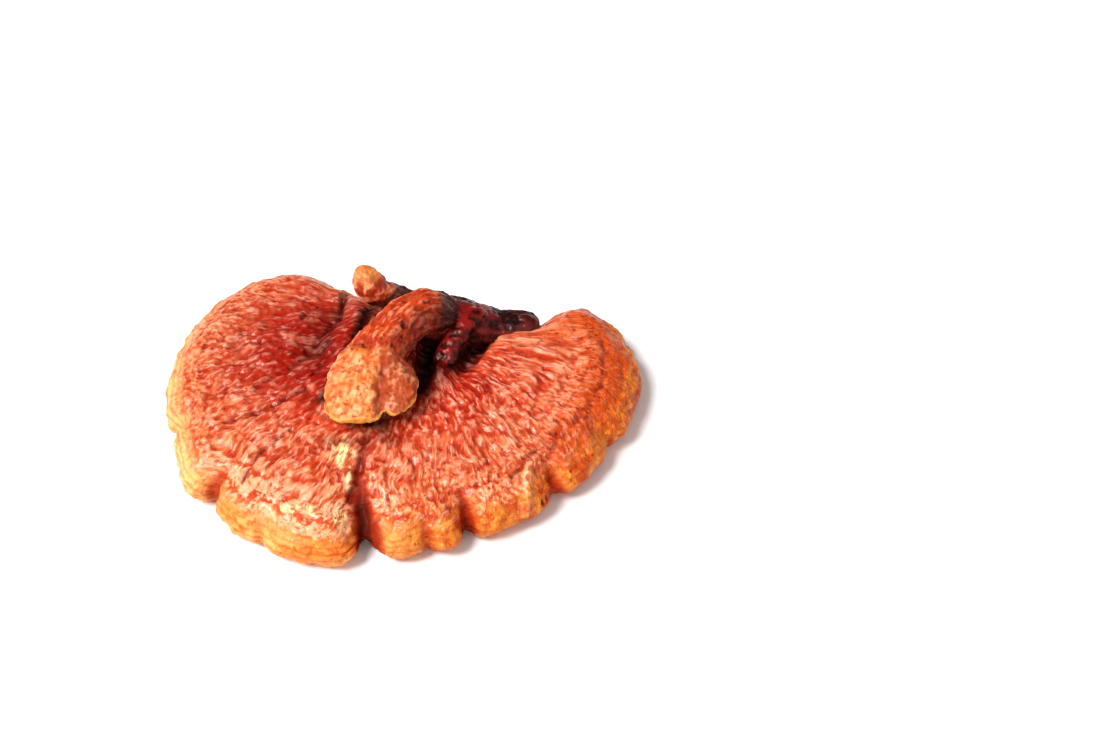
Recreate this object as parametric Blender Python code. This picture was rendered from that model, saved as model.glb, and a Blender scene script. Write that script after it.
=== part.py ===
"""Reishi mushroom, picked and lying on the underside of its cap.

A kidney-shaped bracket cap grows from a stem at its back. The stem ends in a flat cut, and a side shoot
and a bud fork off its root, above the cap. Metres, +Z up, origin under the middle of the whole mushroom.
"""

import math

import bmesh
import bpy
import numpy as np
from mathutils import Vector

MM = 0.001
FORK_GAP = 0.3 * MM  # between two pieces that meet at a fork

# The cap in plan, in millimetres: its margin, and the spot under the stem that it grew out from.
MARGIN = (
    (28, 36.5), (37, 38.5), (46, 45), (55.5, 46), (65.5, 37), (71, 21), (69, 4),
    (62.5, -10), (49, -28), (31, -41), (16, -48), (1, -51), (-19, -54), (-39, -47), (-52, -35.5), (-61, -26),
    (-66, -12), (-70.5, 8), (-68, 31.5), (-55, 53), (-36, 62), (-19, 55), (-8, 46), (5, 41), (17, 38),
)
GROWTH_CENTRE = (4.0, 27.0)
CORE_CENTRE = (8.0, -6.0)  # of the round core in the middle of the cap, with all of the margin in sight
CORE_RADIUS = 13.0
CORE_PULL = 0.6  # from 0 for even spacing round the core to 1 for columns that all aim at its centre

# The cap's section, in millimetres.
CENTRE_HEIGHT = 21.0
SHOULDER_HEIGHT = 14.5
WIDEST_HEIGHT = 6.0
SHOULDER_RUN = 11.0  # from the margin in to the shoulder
HEEL_RUN = 6.0  # from the margin in to where the underside meets the ground
FLAT_RUN = 16.0  # width of the flat band that the cap rests on
HOLLOW_RUN = 12.0  # over which the pore surface lifts off the ground, inside the flat band
HOLLOW_HEIGHT = 2.5

# Clefts in the margin: the outer and the inner end in plan, depth in plan, depth of the groove in the
# upper face, and half width, in millimetres.
CLEFTS = (
    ((-6.5, -57), (-12, -16), 7.5, 5.0, 4.4),
    ((10, -53), (8, -38), 2.0, 2.0, 2.4),
    ((23, -50), (17, -28), 4.5, 3.5, 3.2),
    ((49, -33), (40, -17), 2.5, 2.5, 3.6),
    ((-56, -37), (-40, -20), 4.0, 2.5, 3.6),
    ((-71, -6), (-58, 0), 1.8, 1.0, 3.0),
    ((-40, -52), (-36, -36), 1.5, 1.5, 2.8),
    ((66, -11), (54, -4), 1.2, 1.0, 3.5),
)
# Folds and creases between the stem and the cap: the two ends in plan, rise and half width, millimetres.
FOLDS = (
    ((8, 27), (7, 9), -3.5, 4.0),
    ((24, 26), (17, 10), -3.0, 4.0),
    ((-13, 34), (-19, 19), 2.0, 5.0),
    ((-24, 40), (-27, 20), -2.0, 5.0),
)

CAP_COLUMNS = 140
CAP_CORE_ROWS = 2  # inside the core
CAP_TOP_ROWS = 8  # from the core to the shoulder
CAP_EDGE_ROWS = 4  # each, above and below the widest line
CAP_FLAT_ROWS = 3

# Branches: stations along each one, as x, y, z, half width, half height (millimetres), and the share
# of the height lost in the waist between two lobes.
STEM = (
    (-7, 31, 19, 2.5, 2.5, 0), (-5.5, 31, 19, 5.2, 5.2, 0), (-1, 31, 19.5, 7.8, 7.8, 0),
    (5, 31, 19, 8.5, 8.5, 0), (12, 31, 17, 8.6, 8.6, 0), (20, 32, 14.5, 8, 8, 0),
    (27, 33, 12.2, 6.8, 6.6, 0), (34, 33.6, 11.6, 6, 6, 0), (40.5, 34, 11.8, 6.3, 6, 0),
)
BUTTRESS = (
    (25, 33, 18, 2.2, 2.2, 0), (21.5, 31, 21.4, 3.0, 2.8, 0), (17, 25, 21.2, 3.4, 3.0, 0), (13, 18.5, 19, 3.4, 3.0, 0),
    (10.4, 13.5, 16.5, 2.6, 2.6, 0),
)
SIDE_SHOOT = (
    (11, 31, 22, 5, 4.5, 0), (7, 29, 25.5, 6.5, 6, 0), (2.5, 24.5, 27, 6.3, 6, 0), (-2.5, 17, 26.6, 5.6, 5.4, 0),
    (-6.3, 9.5, 26.4, 6.3, 5.4, 0), (-8.4, 3.5, 26.2, 9.2, 5.8, 0.05), (-8.7, -2, 26, 12.6, 6.4, 0.15),
    (-8.2, -7.5, 25.5, 13.6, 6.4, 0.28), (-7.6, -12, 24.8, 12.4, 5.4, 0.36), (-7.2, -15, 24, 8, 3.4, 0.3),
)
BUD = (
    (2, 31.5, 25, 4.6, 4.6, 0), (-3, 31.5, 28, 4.4, 4.4, 0), (-7.5, 31, 30.5, 5.2, 5.4, 0),
    (-9.6, 31, 34, 5.4, 5.2, 0), (-10.2, 31, 37.5, 4.0, 4.0, 0), (-10.2, 31, 40, 2.0, 2.0, 0),
)
WAIST_WIDTH = 0.4  # share of the half width
BRANCH_SIDES = 20
BRANCH_ROWS = 2  # per stretch between two stations

COLOURS = {
    "cap": (0.55, 0.09, 0.03, 1.0),
    "stem": (0.07, 0.012, 0.01, 1.0),
    "side_shoot": (0.62, 0.17, 0.05, 1.0),
    "bud": (0.60, 0.15, 0.05, 1.0),
}
LACQUER_ROUGHNESS = 0.38


def smoothstep(low, high, value):
    share = np.clip((value - low) / (high - low), 0.0, 1.0)
    return share * share * (3.0 - 2.0 * share)


def curve_through(points, rows, closed=False):
    """Points on a Catmull-Rom curve through the given ones, rows to each stretch."""
    points = np.array(points, float)
    count = len(points)
    stretches = count if closed else count - 1
    found = []
    for i in range(stretches):
        corners = [i - 1, i, i + 1, i + 2]
        corners = [c % count if closed else min(max(c, 0), count - 1) for c in corners]
        before, start, end, after = points[corners]
        for u in np.arange(rows) / rows:
            found.append(
                start
                + 0.5 * u * (end - before)
                + u * u * (before - 2.5 * start + 2 * end - 0.5 * after)
                + 1.5 * u**3 * (start - end + (after - before) / 3)
            )
    return np.array(found if closed else [*found, points[-1]])


def evenly_spaced(loop, count):
    """The closed loop again, as count points the same distance apart."""
    ring = np.vstack([loop, loop[:1]])
    length = np.concatenate([[0.0], np.cumsum(np.linalg.norm(np.diff(ring, axis=0), axis=1))])
    wanted = np.arange(count) / count * length[-1]
    return np.stack([np.interp(wanted, length, ring[:, k]) for k in range(ring.shape[1])], axis=1)


def distance(points, starts, ends):
    """From each point to the nearest of the stretches between starts and ends."""
    along = ends - starts
    offset = points[:, None, :] - starts[None]
    share = np.clip((offset * along).sum(axis=2) / (along**2).sum(axis=1), 0.0, 1.0)
    return np.linalg.norm(offset - share[:, :, None] * along, axis=2).min(axis=1)


def from_line(points, start, end, half_width):
    """1 on the line from start to end in plan, and falling away to 0 on both sides of it."""
    off = distance(points, np.array([start], float), np.array([end], float))
    return np.exp(-np.abs(off / half_width) ** 1.7)


def drawn_in(points):
    """Points in plan again, once the clefts have drawn in the margin and the flesh behind it."""
    moved = points.copy()
    for outer, inner, depth, _, half_width in CLEFTS:
        inward = (np.array(inner, float) - outer) / math.dist(inner, outer)
        along = (points - np.array(outer)) @ inward / math.dist(inner, outer)
        pull = depth * from_line(points, outer, inner, half_width) * smoothstep(1.0, 0.2, along)
        moved += inward * pull[:, None]
    return moved


def top_height(points, from_margin):
    """Height of the cap's upper face over points in plan, given their distance from the margin."""
    from_centre = np.linalg.norm(points - np.array(GROWTH_CENTRE), axis=1)
    share = from_centre / (from_centre + from_margin)
    height = CENTRE_HEIGHT + (SHOULDER_HEIGHT - CENTRE_HEIGHT) * share**1.6
    for start, end, rise, half_width in FOLDS:
        height = height + rise * from_line(points, start, end, half_width)
    for outer, inner, _, groove, half_width in CLEFTS:
        inward = (np.array(inner) - outer) / math.dist(inner, outer) ** 2
        along = (points - np.array(outer)) @ inward
        near = from_line(points, outer, inner, 1.5 * half_width)
        height = height - groove * near * smoothstep(1.0, 0.2, along)
    outward = 1.0 - np.minimum(from_margin / SHOULDER_RUN, 1.0)
    return WIDEST_HEIGHT + (height - WIDEST_HEIGHT) * np.sqrt(1.0 - outward**2)


def under_height(from_margin):
    """Height of the pore surface, given the distance from the margin."""
    outward = 1.0 - np.minimum(from_margin / HEEL_RUN, 1.0)
    heel = WIDEST_HEIGHT * (1.0 - np.sqrt(1.0 - outward**2))
    inside = from_margin - HEEL_RUN - FLAT_RUN
    return heel + HOLLOW_HEIGHT * smoothstep(0.0, HOLLOW_RUN, inside)


def cap_rings():
    """The cap's rings, from the middle of the upper face, over the margin, to the middle of the underside."""
    smooth = evenly_spaced(curve_through(MARGIN, 12, closed=True), CAP_COLUMNS)
    centre = np.array(CORE_CENTRE)
    seen = np.arctan2(*(smooth - centre).T[::-1])
    turn = -2 * math.pi * np.arange(CAP_COLUMNS) / CAP_COLUMNS
    turn += np.angle(np.exp(1j * (seen - turn)).mean())
    turn += CORE_PULL * np.angle(np.exp(1j * (seen - turn)))
    core = centre + CORE_RADIUS * np.column_stack([np.cos(turn), np.sin(turn)])
    inward = (core - smooth) / np.linalg.norm(core - smooth, axis=1, keepdims=True)

    def set_in(wanted):
        """The smooth margin moved in towards the core until it is the wanted distance from itself."""
        run = np.full(CAP_COLUMNS, float(wanted))
        for _ in range(12):
            run += wanted - distance(smooth + inward * run[:, None], smooth, np.roll(smooth, -1, axis=0))
        return smooth + inward * run[:, None]

    in_core = [centre + (core - centre) * share for share in np.linspace(0.0, 1.0, CAP_CORE_ROWS + 1)[1:-1]]
    shoulder = set_in(SHOULDER_RUN)
    flat_end = set_in(HEEL_RUN + FLAT_RUN)
    quarter = np.linspace(0.0, math.pi / 2, CAP_EDGE_ROWS + 1)[1:]
    top = in_core + [core + (shoulder - core) * share for share in np.linspace(0.0, 1.0, CAP_TOP_ROWS + 1)]
    top += [set_in(SHOULDER_RUN * (1.0 - math.sin(angle))) for angle in quarter]
    under = [set_in(HEEL_RUN * (1.0 - math.cos(angle))) for angle in quarter]
    under += [set_in(HEEL_RUN + FLAT_RUN * share) for share in np.arange(1, CAP_FLAT_ROWS) / CAP_FLAT_ROWS]
    under += [flat_end, (flat_end + core) / 2, core] + in_core[::-1]

    margin = drawn_in(smooth)
    after = np.roll(margin, -1, axis=0)
    rings = []
    for ring in top:
        ring = drawn_in(ring)
        rings.append(np.column_stack([ring, top_height(ring, distance(ring, margin, after))]))
    for ring in under:
        ring = drawn_in(ring)
        rings.append(np.column_stack([ring, under_height(distance(ring, margin, after))]))
    return rings


def branch_rings(stations):
    """Rings across a branch, each square to the line through its stations."""
    line = curve_through(stations, BRANCH_ROWS)
    rings = []
    for i, (x, y, z, half_width, half_height, waist) in enumerate(line):
        ahead = Vector(line[min(i + 1, len(line) - 1)][:3]) - Vector(line[max(i - 1, 0)][:3])
        across = ahead.cross(Vector((0, 0, 1))).normalized()
        up = across.cross(ahead).normalized()
        ring = []
        for k in range(BRANCH_SIDES):
            turn = 2 * math.pi * k / BRANCH_SIDES
            pinch = 1.0 - waist * math.exp(-((math.cos(turn) / WAIST_WIDTH) ** 2))
            ring.append(
                Vector((x, y, z))
                + across * half_width * math.cos(turn)
                + up * half_height * pinch * math.sin(turn)
            )
        rings.append(ring)
    return rings


def lofted(name, rings):
    """One closed mesh object with its skin over the rings, in order, and a fan over each end."""
    bm = bmesh.new()
    rows = [[bm.verts.new(Vector(point) * MM) for point in ring] for ring in rings]
    for lower, upper in zip(rows, rows[1:]):
        for i in range(len(lower)):
            j = (i + 1) % len(lower)
            bm.faces.new((lower[i], lower[j], upper[j], upper[i]))
    for row in (rows[0], rows[-1]):
        middle = bm.verts.new(sum((vertex.co for vertex in row), Vector()) / len(row))
        for i in range(len(row)):
            bm.faces.new((row[i], row[(i + 1) % len(row)], middle))
    bmesh.ops.triangulate(bm, faces=bm.faces, quad_method="SHORT_EDGE")
    bmesh.ops.recalc_face_normals(bm, faces=bm.faces)
    mesh = bpy.data.meshes.new(name)
    bm.to_mesh(mesh)
    bm.free()
    mesh.shade_smooth()
    body = bpy.data.objects.new(name, mesh)
    bpy.context.scene.collection.objects.link(body)
    return body


def flesh(name):
    """The lacquered skin of one piece, in its own colour."""
    material = bpy.data.materials.new(name)
    material.use_nodes = True
    shader = material.node_tree.nodes["Principled BSDF"]
    shader.inputs["Base Color"].default_value = COLOURS[name]
    shader.inputs["Roughness"].default_value = LACQUER_ROUGHNESS
    shader.inputs["Metallic"].default_value = 0.0
    return material


def hidden(helper):
    """Keeps a body that only shapes another one out of sight."""
    helper.hide_render = True
    helper.display_type = "WIRE"
    return helper


def joined(body, other):
    """Makes the other body part of this one."""
    join = body.modifiers.new("join", "BOOLEAN")
    join.operation = "UNION"
    join.solver = "EXACT"
    join.object = other
    return hidden(other)


def cut_clear_of(body, neighbour):
    """Cuts the body back from its neighbour, leaving the fork gap between the two."""
    cutter = neighbour.copy()
    cutter.name = f"{neighbour.name}_clear_of_{body.name}"
    bpy.context.scene.collection.objects.link(cutter)
    swell = cutter.modifiers.new("swell", "DISPLACE")
    swell.strength = FORK_GAP
    swell.mid_level = 0.0
    fork = body.modifiers.new(f"fork_{neighbour.name}", "BOOLEAN")
    fork.operation = "DIFFERENCE"
    fork.solver = "EXACT"
    fork.object = cutter
    return hidden(cutter)


def lowest_and_highest(bodies):
    """The corners of the box round the bodies, as the viewport shows them."""
    bpy.context.view_layer.update()
    graph = bpy.context.evaluated_depsgraph_get()
    corners = []
    for body in bodies:
        shown = body.evaluated_get(graph)
        corners += [shown.matrix_world @ vertex.co for vertex in shown.data.vertices]
    corners = np.array(corners)
    return corners.min(axis=0), corners.max(axis=0)


def main():
    for old in list(bpy.data.objects):
        bpy.data.objects.remove(old)
    cap = lofted("cap", cap_rings())
    stem = lofted("stem", branch_rings(STEM))
    buttress = lofted("buttress", branch_rings(BUTTRESS))
    side_shoot = lofted("side_shoot", branch_rings(SIDE_SHOOT))
    bud = lofted("bud", branch_rings(BUD))
    pieces = [cap, stem, side_shoot, bud]
    helpers = [
        joined(stem, buttress),
        cut_clear_of(cap, stem),
        cut_clear_of(cap, side_shoot),
        cut_clear_of(side_shoot, stem),
        cut_clear_of(bud, stem),
        cut_clear_of(bud, side_shoot),
    ]
    for piece in pieces:
        piece.data.materials.append(flesh(piece.name))
    root = bpy.data.objects.new("mushroom", None)
    bpy.context.scene.collection.objects.link(root)
    for part in pieces + helpers:
        part.parent = root
    low, high = lowest_and_highest(pieces)
    root.location = (-(low[0] + high[0]) / 2, -(low[1] + high[1]) / 2, -low[2])


main()
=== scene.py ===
"""Looks of the reishi mushroom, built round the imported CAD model. Shapes are worked out in millimetres."""

import math

import bpy
import numpy as np
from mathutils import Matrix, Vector, kdtree
from mathutils.geometry import delaunay_2d_cdt


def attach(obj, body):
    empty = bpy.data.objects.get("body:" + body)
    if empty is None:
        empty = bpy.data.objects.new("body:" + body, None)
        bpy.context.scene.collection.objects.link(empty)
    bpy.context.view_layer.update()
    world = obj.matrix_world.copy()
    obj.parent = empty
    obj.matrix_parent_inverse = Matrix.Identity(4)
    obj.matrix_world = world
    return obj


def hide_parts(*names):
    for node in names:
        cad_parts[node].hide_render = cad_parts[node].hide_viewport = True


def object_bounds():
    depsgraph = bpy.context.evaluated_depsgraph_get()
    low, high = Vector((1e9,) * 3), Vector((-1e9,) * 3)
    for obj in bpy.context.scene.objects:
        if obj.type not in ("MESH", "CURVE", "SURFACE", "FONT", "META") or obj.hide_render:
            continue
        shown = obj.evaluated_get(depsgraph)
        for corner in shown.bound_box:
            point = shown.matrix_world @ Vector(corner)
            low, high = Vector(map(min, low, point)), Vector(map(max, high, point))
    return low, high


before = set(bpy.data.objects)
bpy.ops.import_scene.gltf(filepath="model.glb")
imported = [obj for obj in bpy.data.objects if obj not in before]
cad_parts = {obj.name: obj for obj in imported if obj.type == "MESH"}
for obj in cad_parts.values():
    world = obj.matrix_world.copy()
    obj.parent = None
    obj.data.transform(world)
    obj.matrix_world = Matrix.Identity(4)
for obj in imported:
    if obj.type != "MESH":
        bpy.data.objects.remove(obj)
cad_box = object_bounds()

MM = 0.001

# The cap's shape, which is the CAD model's drawn a little closer, in millimetres before it is centred.
MARGIN = (
    (28, 36.5), (37, 38.5), (46, 45), (55.5, 46), (65.5, 37), (71, 21), (69, 4),
    (62.5, -10), (49, -28), (31, -41), (16, -48), (1, -51), (-19, -54), (-39, -47), (-52, -35.5), (-61, -26),
    (-66, -12), (-70.5, 8), (-68, 31.5), (-55, 53), (-36, 62), (-19, 55), (-8.5, 48.5), (4, 43.5), (16, 39),
)
GROWTH_CENTRE = np.array((4.0, 27.0))
CORE_CENTRE = np.array((8.0, -6.0))
CORE_RADIUS = 13.0
CORE_PULL = 0.6
CENTRE_HEIGHT = 21.0
SHOULDER_HEIGHT = 14.5
WIDEST_HEIGHT = 6.0
SHOULDER_RUN = 11.0
HEEL_RUN = 6.0
FLAT_RUN = 16.0
HOLLOW_RUN = 12.0
HOLLOW_HEIGHT = 2.5
# Outer end, inner end, plan depth, groove depth, half width.
CLEFTS = (
    ((-6.5, -57), (-12, -16), 6.4, 5, 3.8),
    ((10, -53), (8, -38), 2, 2, 2.4),
    ((23, -50), (17, -28), 3.8, 3.5, 2.8),
    ((49, -33), (40, -17), 2.5, 2.5, 3.6),
    ((-59, -36), (-43, -19), 3.2, 2.5, 3),
    ((-71, -6), (-58, 0), 1.8, 1, 3),
    ((-40, -52), (-36, -36), 1.5, 1.5, 2.8),
    ((66, -11), (54, -4), 1.2, 1, 3.5),
)
CLEFT_FADE = (1.0, 0.2)  # a cleft is gone at the first share of its length, and full up to the second
# Two ends, rise, half width.
FOLDS = (
    ((8, 27), (6, 11), -3.5, 4),
    ((24, 26), (18, 11), -3, 4),
    ((-13, 34), (-19, 19), 2, 5),
    ((-24, 40), (-27, 20), -2, 5),
)
SHIFT = np.array((-0.26, -4.01, 0.0))  # from those millimetres to the frame's

# How finely the cap is built.
CAP_COLUMNS = 840
TOP_BAND_ROWS = 22
TOP_BAND_TURN = math.radians(62)
UNDER_BAND_ROWS = 12
TOP_SPACING = 0.43
UNDER_SPACING = 1.0
INSIDE_ONLY = 1  # the triangulation's output type: triangles inside the ring

# Creases: two ends, depth, half width.
CREASES = (
    ((-43.5, -30.5), (-38.8, -20), 0.9, 0.75),
    ((-38.5, -19.3), (-30.9, -12.3), 0.9, 0.75),
    ((-35, -25), (-29.5, -17), 0.5, 0.5),
    ((-50, -8), (-38, -3.5), 0.8, 1.1),
    ((-38, -3.5), (-27.5, 3), 0.9, 1.2),
    ((-43, 4), (-33.5, 11.5), 0.6, 1.2),
    ((-33.5, 11.5), (-21.5, 22), 0.9, 1.3),
    ((-52, 22), (-38, 24), 0.5, 1.2),
    ((-11.5, -36), (-9, -15), 1.2, 1.6),
    ((-2, -39), (-3.5, -24), 0.7, 0.6),
    ((6, -36), (5, -22), 0.6, 0.6),
    ((28, -27), (22, -16), 0.5, 0.6),
    ((44, -18), (37, -10), 0.6, 0.8),
    ((-17.5, 50), (-20.5, 33), 1.6, 1.5),
    ((-21.5, 33), (-27.5, 20), 1.2, 1.1),
    ((-11, 37), (-12.8, 22), 1.6, 1.5),
    ((-12.8, 22), (-18, 11), 1, 1.3),
    ((-19.5, 18.5), (-26, 9), 0.8, 0.9),
    ((-26, 40), (-33, 30), 0.7, 0.8),
    ((9, 28), (6.5, 13), 2, 2.2),
    ((24, 26.5), (18.5, 14), 2, 2),
)
# Where the cap is darkest, round the root of the stem: its dark lacquer there, with painted shade in the
# grooves and painted shadow of the side shoot's finger and knob. Two ends, strength, half width.
DARK_AND_SHADED_PLACES = (
    ((10, 24), (6, 3), 0.95, 4.5),
    ((24, 27), (14.5, 12), 0.9, 2.8),
    ((14, 10), (10, 3), 0.5, 3.5),
    ((-10, 37), (-13, 22), 0.75, 3.2),
    ((-13, 22), (-18, 11), 0.55, 2.4),
    ((-19, 44), (-21, 31), 0.55, 1.9),
    ((-21, 31), (-23, 22), 0.5, 2),
    ((-23, 22), (-28, 17), 0.35, 1.8),
    ((-19, 5), (-23, -2), 0.7, 2.2),
    ((-22, 36), (-26, 18), 0.45, 6),
    ((2, 30), (36, 40), 0.9, 5.5),
    ((-4, -14), (-14, -4), 0.55, 7),
    ((-20, -17), (0, -17), 0.42, 4),
    ((2, 2), (10, 12), 0.7, 6),
)
# x, y, half width, half depth.
SCUFFS = ((-15.6, -21, 4.5, 6), (-12.5, -30, 2, 5), (-27, -41, 7, 2.2), (-15, -43, 3, 5))
PITS = ((44.5, -31.2, 1.5), (46.6, -29.8, 1.1), (42.6, -32.8, 0.9), (58.5, -17.5, 0.9))  # x, y, radius
# Two ends and a half width.
PALE_RIDGE = ((37.4, -27.5), (37.6, -37.5), 1.5)
CLEFT_SHADE = ((-4.5, -54), (-6.8, -43), 2.9)  # the shaded side of the main cleft, down over the rim
STEM_RIB = ((22.5, 32), (11, 14), 4.0)  # the buttress, redder than the stem
KNOB_GROOVE = ((-5.4, -14.5), (-4.6, -1.5), 1.1)

# Spacings along the growth lines.
GROWTH_LENGTH = 74.0  # from the centre of growth to the margin, on average
RING_SPACING = 4.8
TERRACE_SPACING = 3.1
COMB_PITCH = 2.3


def smoothstep(low, high, value):
    share = np.clip((value - low) / (high - low), 0.0, 1.0)
    return share * share * (3.0 - 2.0 * share)


def curve_through(points, rows, closed=False):
    """Points on a Catmull-Rom curve through the given ones, rows to each stretch."""
    points = np.array(points, float)
    count = len(points)
    found = []
    for i in range(count if closed else count - 1):
        corners = [i - 1, i, i + 1, i + 2]
        corners = [c % count if closed else min(max(c, 0), count - 1) for c in corners]
        before, start, end, after = points[corners]
        for u in np.arange(rows) / rows:
            found.append(
                start
                + 0.5 * u * (end - before)
                + u * u * (before - 2.5 * start + 2 * end - 0.5 * after)
                + 1.5 * u**3 * (start - end + (after - before) / 3)
            )
    return np.array(found if closed else [*found, points[-1]])


def evenly_spaced(loop, count):
    ring = np.vstack([loop, loop[:1]])
    length = np.concatenate([[0.0], np.cumsum(np.linalg.norm(np.diff(ring, axis=0), axis=1))])
    wanted = np.arange(count) / count * length[-1]
    return np.stack([np.interp(wanted, length, ring[:, k]) for k in range(ring.shape[1])], axis=1)


def to_stretch(points, start, end):
    """Distance of each point from the stretch between start and end, which may be one pair or one per point."""
    along = end - start
    share = np.clip(((points - start) * along).sum(axis=-1) / (along**2).sum(axis=-1), 0.0, 1.0)
    return np.linalg.norm(points - start - share[..., None] * along, axis=-1)


def from_line(points, start, end, half_width):
    """1 on the line from start to end in plan, and falling away to 0 on both sides of it."""
    off = to_stretch(points, np.array(start, float), np.array(end, float))
    return np.exp(-np.abs(off / half_width) ** 1.7)


def share_along(points, start, end):
    """How far each point is along the way from start to end in plan: 0 at the start and 1 at the end."""
    return (points - np.array(start)) @ ((np.array(end) - start) / math.dist(start, end) ** 2)


def fading_line(points, start, end, half_width, fade):
    """from_line, but 0 beyond the first share of the way along it, and rising to 1 at the second."""
    return from_line(points, start, end, half_width) * smoothstep(*fade, share_along(points, start, end))


def tree_of(points):
    tree = kdtree.KDTree(len(points))
    for i, point in enumerate(points):
        tree.insert(point, i)
    tree.balance()
    return tree


class Loop:
    """A closed line in plan that says how far points are from it."""

    def __init__(self, points):
        self.points = points
        self.tree = tree_of([(x, y, 0.0) for x, y in points])

    def distance(self, places):
        near = np.array([self.tree.find((x, y, 0.0))[1] for x, y in places])
        here = self.points[near]
        before = self.points[near - 1]
        after = self.points[(near + 1) % len(self.points)]
        return np.minimum(to_stretch(places, before, here), to_stretch(places, here, after))

    def soft_distance(self, places, power=5.0):
        """Much the same distance, but with no creases in it halfway between two sides."""
        step = np.linalg.norm(np.roll(self.points, -1, axis=0) - self.points, axis=1)
        constant = math.sqrt(math.pi) * math.gamma((power - 1) / 2) / math.gamma(power / 2)
        found = []
        for some in np.array_split(places, max(len(places) // 2000, 1)):
            gap = ((some[:, None] - self.points[None]) ** 2).sum(axis=2)
            pull = (step * np.maximum(gap, 0.25) ** (-power / 2)).sum(axis=1)
            found.append((pull / constant) ** (-1.0 / (power - 1)))
        return np.concatenate(found)


def drawn_in(points):
    """Points in plan again, once the clefts have drawn in the margin and the flesh behind it."""
    moved = points.copy()
    for outer, inner, depth, _, half_width in CLEFTS:
        inward = (np.array(inner, float) - outer) / math.dist(inner, outer)
        pull = depth * fading_line(points, outer, inner, half_width, CLEFT_FADE)
        moved += inward * pull[:, None]
    return moved


def top_height(points, from_margin, share):
    """Height of the cap's upper face over points in plan."""
    height = CENTRE_HEIGHT + (SHOULDER_HEIGHT - CENTRE_HEIGHT) * share**1.6
    for start, end, rise, half_width in FOLDS:
        height = height + rise * from_line(points, start, end, half_width)
    for outer, inner, _, groove, half_width in CLEFTS:
        height = height - groove * fading_line(points, outer, inner, 1.5 * half_width, CLEFT_FADE)
    outward = 1.0 - np.minimum(from_margin / SHOULDER_RUN, 1.0)
    return WIDEST_HEIGHT + (height - WIDEST_HEIGHT) * np.sqrt(1.0 - outward**2)


def under_height(from_margin):
    """Height of the pore surface."""
    outward = 1.0 - np.minimum(from_margin / HEEL_RUN, 1.0)
    heel = WIDEST_HEIGHT * (1.0 - np.sqrt(1.0 - outward**2))
    return heel + HOLLOW_HEIGHT * smoothstep(0.0, HOLLOW_RUN, from_margin - HEEL_RUN - FLAT_RUN)


def grain(seed, x, y, z=0.0):
    """Smooth random values from about -1 to 1, one for each point, with a cell to each unit."""
    rng = np.random.default_rng(seed)
    order = rng.permutation(256)
    slopes = rng.normal(size=(256, 3))
    slopes /= np.linalg.norm(slopes, axis=1, keepdims=True)
    places = np.stack(np.broadcast_arrays(x, y, z), axis=-1).astype(float)
    cell = np.floor(places).astype(int)
    inside = places - cell
    ease = inside**3 * (inside * (inside * 6 - 15) + 10)
    total = np.zeros(places.shape[:-1])
    for corner in np.ndindex(2, 2, 2):
        corner = np.array(corner)
        at = (cell + corner) & 255
        pick = order[(order[(order[at[..., 0]] + at[..., 1]) & 255] + at[..., 2]) & 255]
        weight = np.where(corner, ease, 1 - ease).prod(axis=-1)
        total += weight * ((inside - corner) * slopes[pick]).sum(axis=-1)
    return total * 1.6


def fan_levels(radius, pitch, to_double=1.0, edge=0.25):
    """For lines that fork as they spread and so keep their pitch: how often they have forked by each radius,
    in steps that are to_double to a doubling of their number, and how far they are into the next step."""
    level = to_double * np.log2(np.maximum(radius, 4.0) / pitch)
    below = np.floor(level)
    return below, smoothstep(edge, 1.0 - edge, level - below)


def fan_grain(seed, bearing, radius, run, pitch, length):
    """Grain in cells drawn out along the growth lines."""
    below, blend = fan_levels(radius, pitch, 2.0, 0.2)
    total = np.zeros(len(bearing))
    for step, weight in ((0, 1.0 - blend), (1, blend)):
        cells = 2.0 ** ((below + step) / 2.0)
        total += weight * grain(seed, bearing * cells, run / length, (below + step) * 7.3)
    return total / np.sqrt(blend**2 + (1.0 - blend) ** 2)


def fan_comb(seed, bearing, radius, run, row, pitch):
    """Ridges side by side along the growth lines, each row of them set off from the last."""
    below, blend = fan_levels(radius, pitch)
    total = np.zeros(len(bearing))
    for step, weight in ((0, 1.0 - blend), (1, blend)):
        cells = 2.0 ** (below + step)
        sway = 0.5 * grain(seed, bearing * cells * 0.25, run / 5, (below + step) * 3.7)
        sway += 1.6 * grain(seed + 1, bearing * 5.0, row * 1.7 + 0.5)
        total += weight * np.sin(2 * math.pi * (bearing * cells + sway))
    return total


def fan_lines(bearing, radius):
    """Two sets of numbers across the growth lines, each changing its scale only where the other one rules."""
    below, blend = fan_levels(radius, 1.0)
    odd = below % 2
    odd_share = np.where(odd == 1, 1.0 - blend, blend)
    return bearing * 2.0 ** (below + odd), bearing * 2.0 ** (below + 1 - odd), odd_share


def billow(values, sharpness=2.3):
    """0 in sharp valleys, 1 on broad ridges."""
    return np.minimum(np.abs(values) * sharpness, 1.0) ** 0.85


def in_scene(name, data):
    """A new object of the data, in the scene."""
    made = bpy.data.objects.new(name, data)
    bpy.context.scene.collection.objects.link(made)
    return made


def mesh_object(name, points, faces):
    """A mesh object from points in millimetres."""
    mesh = bpy.data.meshes.new(name)
    mesh.from_pydata((np.asarray(points) * MM).tolist(), [], faces)
    mesh.validate()
    mesh.shade_smooth()
    return in_scene(name, mesh)


def vectors_of(items, key):
    vectors = np.zeros(len(items) * 3, np.float32)
    items.foreach_get(key, vectors)
    return vectors.reshape(-1, 3).astype(float)


def points_of(mesh):
    """The mesh's points in millimetres."""
    return vectors_of(mesh.vertices, "co") / MM


def normals_of(mesh):
    return vectors_of(mesh.vertex_normals, "vector")


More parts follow.
